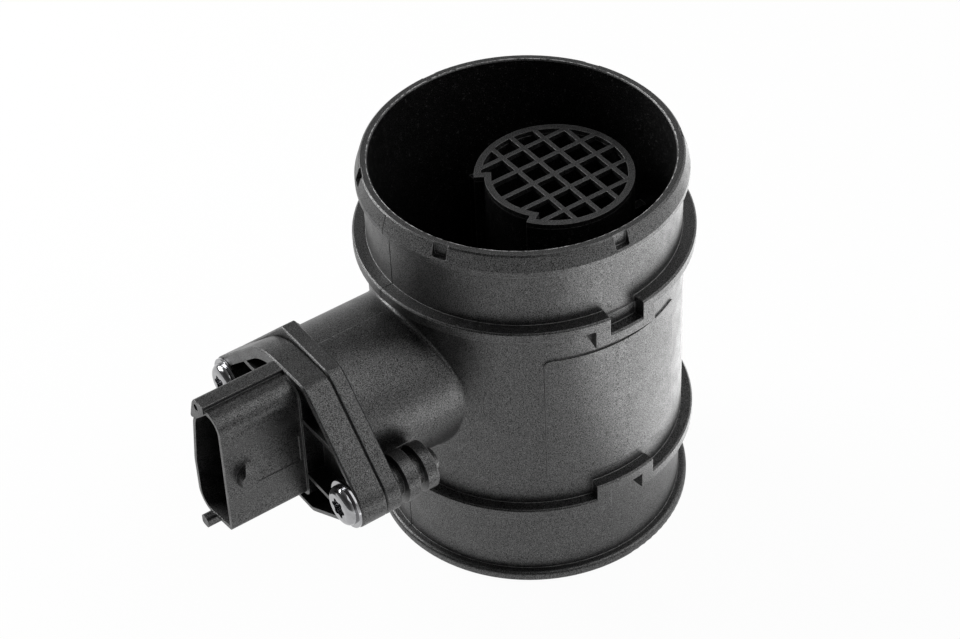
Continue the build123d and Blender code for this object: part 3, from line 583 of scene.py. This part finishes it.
@dataclass
class FlowTube:
    """The moulded tube with its measuring duct and grid."""

    bore_r: float = 37.8 * MM
    lead_in: float = 0.35 * MM
    spigot_r: float = 39.6 * MM
    body_r: float = 40.0 * MM
    bead_r: float = 41.8 * MM
    bead_height: float = 3.0 * MM
    bead_round: float = 1.0 * MM
    lower_rib: Triple = (43.0 * MM, 24.4 * MM, 27.6 * MM)
    upper_rib: Triple = (43.05 * MM, 84.5 * MM, 87.7 * MM)
    rib_chamfer: float = 0.4 * MM
    lip_r: float = 41.2 * MM
    lip_land: Pair = (103.85 * MM, 105.35 * MM)
    lip_top: Pair = (40.0 * MM, 109.15 * MM)
    branch_axis: float = 59.0 * MM
    branch_r: float = 21.1 * MM
    branch_end: float = -62.3 * MM
    saddle: float = 1.3 * MM
    seam_foot: float = 1.0 * MM
    flash: Pair = (0.06 * MM, 0.2 * MM)
    flash_steps: int = 1800
    flash_section: int = 8
    flash_waves: tuple[tuple[float, int, int], ...] = ((0.6, 11, 3), (0.4, 12, 40))
    plastic: MouldedPlastic = field(
        # Reflections cut inside the bore: painted shade.
        default_factory=lambda: MouldedPlastic("tube_plastic", shaded_bore_r=37.85 * MM)
    )
    seam: MouldedPlastic = field(
        default_factory=lambda: MouldedPlastic("seam_plastic", grain_shine=(0.0, 0.15), edge=0.0)
    )

    def dress(self, nodes: Nodes) -> None:
        """Tube and grid in black plastic, with parting lines, flash and the flange's crest.

        Args:
            nodes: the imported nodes.
        """
        nodes.dress(self.plastic, "flow_tube")
        grid = MouldedPlastic("grid_plastic", grain_strength=0.35, edge=0.15 * MM)
        nodes.dress(grid, "inlet_grid")
        self.parting_lines()
        self.rim_flash()
        FlangeCrest().build(self.plastic)

    def parting_lines(self) -> None:
        """Ridges in the plane y = 0: up both sides of the tube, and above and below the branch."""
        rise = self.branch_r + self.saddle
        low = [(self.bead_r, self.seam_foot),
               (self.bead_r, self.bead_height - self.bead_round),
               (self.bead_r - self.bead_round, self.bead_height),
               (self.spigot_r, self.bead_height)]
        lower = self.rib_profile(self.lower_rib, self.spigot_r, self.body_r)
        upper = self.rib_profile(self.upper_rib, self.body_r, self.spigot_r)
        lip = [(self.spigot_r, self.lip_land[0]), (self.lip_r, self.lip_land[0]),
               (self.lip_r, self.lip_land[1]), self.lip_top]
        top, bottom = self.branch_axis + rise, self.branch_axis - rise
        to_branch = [*low, *lower, (self.body_r, bottom)]
        from_branch = [(self.body_r, top), *upper, *lip]
        self.meridian("parting_line_low", Side.BRANCH, to_branch, seed=1)
        self.meridian("parting_line_high", Side.BRANCH, from_branch, seed=2)
        self.meridian("parting_line_back", Side.FAR, [*low, *lower, *upper, *lip], seed=3)
        for name, sign, seed in (("above", 1.0, 4), ("below", -1.0, 5)):
            z = self.branch_axis + sign * self.branch_r
            ends = np.array([[self.branch_end, 0.0, z], [-self.body_r - self.saddle, 0.0, z]])
            outward = np.array([[0.0, 0.0, sign]] * 2)
            across = np.array([0.0, sign, 0.0])
            PartingLine(f"parting_line_{name}", ends, outward, across).build(self.plastic, seed)

    def rib_profile(self, rib: Triple, below: float, above: float) -> Outline:
        """Outline over a rib as (radius, z), from the wall below it to the wall above it.

        Args:
            rib: outer radius, lower and upper height of the rib.
            below: radius of the wall under the rib.
            above: radius of the wall over the rib.

        Returns:
            The outline's corners.
        """
        radius, low, high = rib
        cut = self.rib_chamfer
        return [(below, low), (radius - cut, low), (radius, low + cut), (radius, high - cut),
                (radius - cut, high), (above, high)]

    def meridian(self, name: str, side: Side, outline: Outline, seed: int) -> None:
        """Parting line along an outline of (radius, z) in the plane y = 0.

        Each stretch between two corners has the normal n = (dz, -dr) / |(dr, dz)|, which points
        away from the tube as the outline goes up. Corners take the mean of both stretches.

        Args:
            name: the piece's name.
            side: the side of the tube.
            outline: the corners, going up.
            seed: seed of the ridge's height.
        """
        line = np.array(outline)
        step = np.diff(line, axis=0)
        normal = np.stack([step[:, 1], -step[:, 0]], axis=1)
        normal /= np.linalg.norm(normal, axis=1)[:, None]
        corner = np.vstack([normal[:1], (normal[:-1] + normal[1:]) / 2.0, normal[-1:]])
        zero, sign = np.zeros(len(line)), side.value
        path = np.stack([sign * line[:, 0], zero, line[:, 1]], axis=1)
        outward = np.stack([sign * corner[:, 0], zero, corner[:, 1]], axis=1)
        across = np.array([0.0, -sign, 0.0])
        PartingLine(name, path, outward, across).build(self.seam, seed)

    def rim_flash(self) -> None:
        """Ragged bead of flash round the inner edge of the upper rim, with pale patches that paint
        highlights and partly wear.

        The bead is a ring of radius R = bore_r + lead_in at the top of the lead-in. Its section
        is a circle whose radius s wanders between the two flash sizes with the angle a:
        p = ((R + s cos b) cos a, (R + s cos b) sin a, z + s sin b). The wandering is the sum of
        the flash waves, each with its share, seed and smoothing, squared to keep thick spots few.
        """
        small, large = self.flash
        ring = self.bore_r + self.lead_in
        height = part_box("flow_tube")[1].z - small
        angle = np.linspace(0.0, 2.0 * np.pi, self.flash_steps, endpoint=False)[:, None]
        section = np.linspace(0.0, 2.0 * np.pi, self.flash_section, endpoint=False)[None, :]
        mixed = sum(
            share * wander(self.flash_steps, seed, smooth)
            for share, seed, smooth in self.flash_waves
        )
        size = (small + (large - small) * mixed**2)[:, None]
        reach = ring + size * np.cos(section)
        level = height + size * np.sin(section)
        points = np.stack([reach * np.cos(angle), reach * np.sin(angle), level], axis=-1)
        # Pale patches on the flash: painted highlights, partly rubbed wear.
        sheet("rim_flash", points, (True, True), HighlitWornPlastic("highlit_worn_plastic"))


@dataclass
class PlugInSensor:
    """The sensor housing with its lids, seal, terminals and flange hardware."""

    terminals: int = 5

    def dress(self, nodes: Nodes) -> None:
        """Housing and lids in black plastic, and the hardware in its metals and rubber.

        Args:
            nodes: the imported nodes.
        """
        plastic = MouldedPlastic(
            "sensor_plastic", grain_strength=0.4, roughness=(0.34, 0.44), edge=0.15 * MM,
        )
        nodes.dress(plastic, "sensor_body", "electronics_cover", "bypass_cover")
        nodes.dress(PlainSurface("seal_rubber", roughness=(0.5, 0.6)), "seal_ring")
        plate = BareMetal(
            "dark_zinc", colour=(0.36, 0.36, 0.37), roughness=(0.1, 0.2),
            mark_scale=(700.0, 700.0, 700.0),
        )
        nodes.dress(plate, "flange_screw_front", "flange_screw_rear")
        turned = BareMetal(
            "turned_steel", colour=(0.56, 0.56, 0.57), roughness=(0.25, 0.4),
            mark_scale=(4000.0, 300.0, 300.0),
        )
        nodes.dress(turned, "screw_sleeve_front", "screw_sleeve_rear")
        tin = BareMetal(
            "tinned_brass", colour=(0.72, 0.69, 0.6), roughness=(0.2, 0.32),
            mark_scale=(300.0, 2500.0, 2500.0),
        )
        nodes.dress(tin, *[f"terminal_pin_{k + 1}" for k in range(self.terminals)])
        bead = PlainSurface(
            "bead_glass", colour=(0.12, 0.07, 0.05), second=(0.18, 0.1, 0.07), scale=1500.0,
            roughness=(0.15, 0.25),
        )
        nodes.dress(bead, "air_temperature_sensor")


@dataclass
class Electronics:
    """The hybrid circuit inside the finger."""

    def dress(self, nodes: Nodes) -> None:
        """Each part of the circuit in its own finish.

        Args:
            nodes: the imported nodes.
        """
        rolled = BareMetal(
            "rolled_aluminium", colour=(0.7, 0.7, 0.71), roughness=(0.3, 0.45),
            mark_scale=(200.0, 900.0, 3000.0),
        )
        nodes.dress(rolled, "base_plate")
        ceramic = PlainSurface(
            "fired_ceramic", colour=(0.82, 0.8, 0.76), second=(0.76, 0.74, 0.7), scale=1200.0,
            roughness=(0.35, 0.5),
        )
        nodes.dress(ceramic, "circuit_board", "chip_carrier")
        epoxy = PlainSurface(
            "moulded_epoxy", colour=(0.03, 0.03, 0.032), second=(0.05, 0.05, 0.052),
            scale=2500.0, roughness=(0.4, 0.5),
        )
        nodes.dress(epoxy, "evaluation_chip", "resistors")
        clay = PlainSurface(
            "capacitor_ceramic", colour=(0.42, 0.3, 0.18), second=(0.34, 0.24, 0.14),
            scale=1800.0, roughness=(0.35, 0.45),
        )
        nodes.dress(clay, "capacitors")
        wafer = BareMetal("polished_silicon", colour=(0.24, 0.26, 0.33), roughness=(0.05, 0.1))
        nodes.dress(wafer, "sensor_element")
        wire = BareMetal(
            "drawn_wire", colour=(0.8, 0.8, 0.81), roughness=(0.2, 0.3),
            mark_scale=(900.0, 3000.0, 3000.0),
        )
        nodes.dress(wire, "bond_wires")


# ------------------------------------------------------------------ studio
@dataclass(frozen=True)
class Lamp:
    """Rectangular area lamp, which lights and mirrors but isn't itself in the picture."""

    name: str
    place: Triple
    azimuth: float  # compass direction that it faces, in degrees from +X
    tilt: float  # how far it is turned from facing straight down, in degrees
    size: Pair  # length along that direction and breadth across it
    power: float  # in watts

    def build(self) -> None:
        """Adds the lamp to the scene."""
        light = bpy.data.lights.new(self.name, "AREA")
        light.shape = "RECTANGLE"
        light.size, light.size_y = self.size
        light.energy = self.power
        obj = bpy.data.objects.new(self.name, light)
        compass = Matrix.Rotation(math.radians(self.azimuth), 4, "Z")
        turn = compass @ Matrix.Rotation(-math.radians(self.tilt), 4, "Y")
        obj.matrix_world = Matrix.Translation(self.place) @ turn
        obj.visible_camera = False
        bpy.context.scene.collection.objects.link(obj)


@dataclass
class Studio:
    """White floor, a sky that is bright at the right horizon, and soft lamps."""

    floor_half: float = 3.0
    floor_colour: Colour = (0.82, 0.82, 0.82)
    floor_glow: float = 0.96
    footprint: float = 40.5 * MM
    sky_sides: Pair = (0.15, 1.1)
    side_span: Pair = (-0.4, 0.9)
    sky_fall: Pair = (1.0, 0.45)
    fall_span: Pair = (0.05, 0.6)
    lamps: tuple[Lamp, ...] = (
        Lamp("table_right", place=(0.134, -0.071, 0.003), azimuth=-28.0, tilt=180.0,
             size=(0.20, 0.38), power=0.56),
        Lamp("back_left", place=(-0.35, 0.65, 0.5), azimuth=-61.7, tilt=58.6,
             size=(0.5, 0.5), power=7.0),
        Lamp("high_right", place=(0.341, -0.307, 0.655), azimuth=138.0, tilt=35.0,
             size=(0.8, 0.8), power=3.0),
    )

    def build(self) -> None:
        """Makes the floor, the world and the lamps."""
        self.floor()
        self.world()
        for lamp in self.lamps:
            lamp.build()
        bpy.context.scene.view_settings.view_transform = "Standard"

    def floor(self) -> None:
        """Square plane under the part, seen as white outside the footprint.

        The camera, mirrored and transmitted rays see white for the glow's share and the shaded
        paper for the rest. Within the footprint they see only the shaded paper.
        """
        half = self.floor_half
        mesh = bpy.data.meshes.new("floor")
        corners = [(-half, -half, 0), (half, -half, 0), (half, half, 0), (-half, half, 0)]
        mesh.from_pydata(corners, [], [(0, 1, 2, 3)])
        obj = bpy.data.objects.new("floor", mesh)
        bpy.context.scene.collection.objects.link(obj)
        material = bpy.data.materials.new("floor_paper")
        material.use_nodes = True
        draft = Draft(material.node_tree)
        paper = draft.add("BsdfDiffuse", {"Color": self.floor_colour})
        white = draft.add("Emission", {"Color": WHITE, "Strength": 1.0})
        path = draft.add("LightPath").outputs
        mirrored = draft.math("MAXIMUM", path["Is Glossy Ray"], path["Is Transmission Ray"])
        seen = draft.math("MAXIMUM", path["Is Camera Ray"], mirrored)
        radius = draft.length(draft.add("TexCoord").outputs["Object"])
        outside = draft.math("GREATER_THAN", radius, self.footprint)
        share = draft.math("MULTIPLY", seen, draft.math("MULTIPLY", outside, self.floor_glow))
        mixed = draft.add("MixShader", {0: share, 1: paper.outputs[0], 2: white.outputs[0]})
        draft.add("OutputMaterial", {"Surface": mixed.outputs[0]})
        mesh.materials.append(material)

    def world(self) -> None:
        """Sky that is brightest at the horizon on the +X side.

        Its strength is a ramp of the direction's x over the side span times a ramp of its z over
        the fall span.
        """
        world = bpy.data.worlds.new("studio")
        bpy.context.scene.world = world
        world.use_nodes = True
        draft = Draft(world.node_tree)
        direction = draft.add("TexCoord").outputs["Generated"]
        axes = draft.add("SeparateXYZ", {0: direction}).outputs
        strength = draft.math(
            "MULTIPLY", draft.ramp(axes[0], *self.side_span, *self.sky_sides),
            draft.ramp(axes[2], *self.fall_span, *self.sky_fall),
        )
        glow = draft.add("Background", {"Color": WHITE, "Strength": strength})
        draft.add("OutputWorld", {"Surface": glow.outputs[0]})


@dataclass
class CameraRig:
    """Camera that looks down on the upper rim from the branch's front side."""

    distance: float = 483.923 * MM
    height: float = 376.113 * MM
    rim_height: float = 109.55 * MM
    turn: float = math.radians(34.8)
    pan: float = -0.025252
    tilt: float = 0.727284
    roll: float = -0.050783
    lens: float = 93.976
    sensor: float = 36.0
    clip: float = 10.0 * MM

    def build(self) -> None:
        """Places the camera: back by distance and up by height from the rim's centre.

        The camera looks along f, which is pan from the rim's axis and tilt below level; its
        right and up vectors are then rolled about f, and the whole is turned about Z so that
        the branch points left.
        """
        pan, tilt, roll = self.pan, self.tilt, self.roll
        forward = np.array([
            math.sin(pan) * math.cos(tilt), math.cos(pan) * math.cos(tilt), -math.sin(tilt),
        ])
        level = np.array([math.cos(pan), -math.sin(pan), 0.0])
        upright = np.cross(level, forward)
        right = math.cos(roll) * level + math.sin(roll) * upright
        up = math.cos(roll) * upright - math.sin(roll) * level
        place = np.array([0.0, -self.distance, self.height + self.rim_height])
        axes = np.column_stack([right, up, -forward, place])
        matrix = Matrix([*axes.tolist(), [0.0, 0.0, 0.0, 1.0]])
        data = bpy.data.cameras.new("camera")
        data.lens = self.lens
        data.sensor_width = self.sensor
        data.clip_start = self.clip
        obj = bpy.data.objects.new("camera", data)
        obj.matrix_world = Matrix.Rotation(-self.turn, 4, "Z") @ matrix
        bpy.context.scene.collection.objects.link(obj)
        bpy.context.scene.camera = obj


def main() -> None:
    """Loads the frame, dresses it with its surface work, and sets up studio and camera."""
    logging.basicConfig(level=logging.INFO, format="%(name)s %(message)s")
    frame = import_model()
    nodes = Nodes(frame["nodes"])
    for assembly in (FlowTube(), PlugInSensor(), Electronics()):
        assembly.dress(nodes)
    Studio().build()
    CameraRig().build()


if __name__ == "__main__":
    main()
